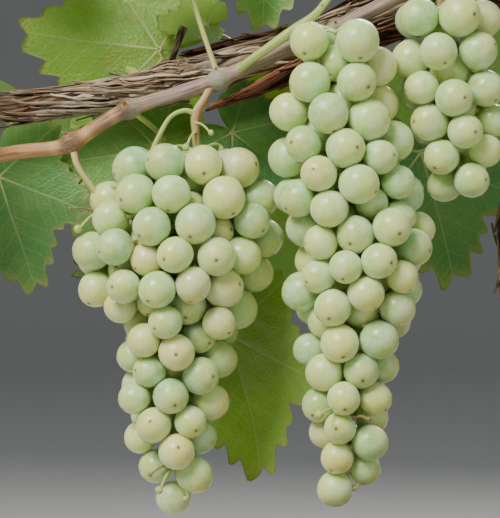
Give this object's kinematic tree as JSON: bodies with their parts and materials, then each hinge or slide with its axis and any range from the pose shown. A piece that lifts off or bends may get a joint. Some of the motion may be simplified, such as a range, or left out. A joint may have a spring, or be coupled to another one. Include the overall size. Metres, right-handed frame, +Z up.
{
  "type": "potted grapevine",
  "caption": "Old white-grape vine in a plain terracotta pot, with a gnarled trunk, a weathered arm, leafy shoots and hanging bunches of pale green grapes",
  "frame": {"origin": "centre of the flat underside of the pot", "axes": "+X to the viewer's right along the short right arm, +Y away from the viewer, +Z up"},
  "size_m": [0.5406, 0.3, 0.6793],
  "materials": {
    "terracotta": "matte unglazed fired clay",
    "soil": "crumbly potting soil",
    "old_bark": "weathered shreddy grey bark",
    "cane_bark": "smooth thin brown bark",
    "green_stem": "smooth fresh green stem",
    "leaf": "satin veined leaf",
    "berry_skin": "translucent green skin with pale bloom"
  },
  "bodies": {
    "root": {"back_centre_shoot": "green_stem", "back_left_shoot": "green_stem", "berries_left": "berry_skin", "berries_right": "berry_skin", "berries_third": "berry_skin", "centre_shoot": "green_stem", "fruiting_cane": "cane_bark", "head_shoot": "green_stem", "leaf_arm_end": "leaf", "leaf_arm_end_tip": "leaf", "leaf_arm_end_upper": "leaf", "leaf_behind_bunch": "leaf", "leaf_bright": "leaf", "leaf_centre": "leaf", "leaf_centre_back": "leaf", "leaf_end_back": "leaf", "leaf_end_front": "leaf", "leaf_end_low": "leaf", "leaf_end_side": "leaf", "leaf_hanging": "leaf", "leaf_head_back": "leaf", "leaf_left_back": "leaf", "leaf_left_edge": "leaf", "leaf_left_tip": "leaf", "leaf_lower_left": "leaf", "leaf_right": "leaf", "leaf_right_back": "leaf", "leaf_right_inner": "leaf", "leaf_right_tip": "leaf", "leaf_right_upper": "leaf", "leaf_shoot_left": "leaf", "leaf_shoot_right": "leaf", "leaf_shoot_tip": "leaf", "leaf_small": "leaf", "leaf_top_centre": "leaf", "leaf_top_left": "leaf", "leaf_upper_left": "leaf", "left_shoot": "green_stem", "lower_old_cane": "old_bark", "pot": "terracotta", "right_lower_shoot": "green_stem", "right_upper_shoot": "green_stem", "soil": "soil", "spur": "old_bark", "stalk_left": "green_stem", "stalk_node": "green_stem", "stalk_right": "green_stem", "stalk_third": "green_stem", "tendril_left": "green_stem", "tendril_right": "green_stem", "trunk_and_arms": "old_bark", "upper_old_cane": "old_bark"}
  },
  "joints": []
}
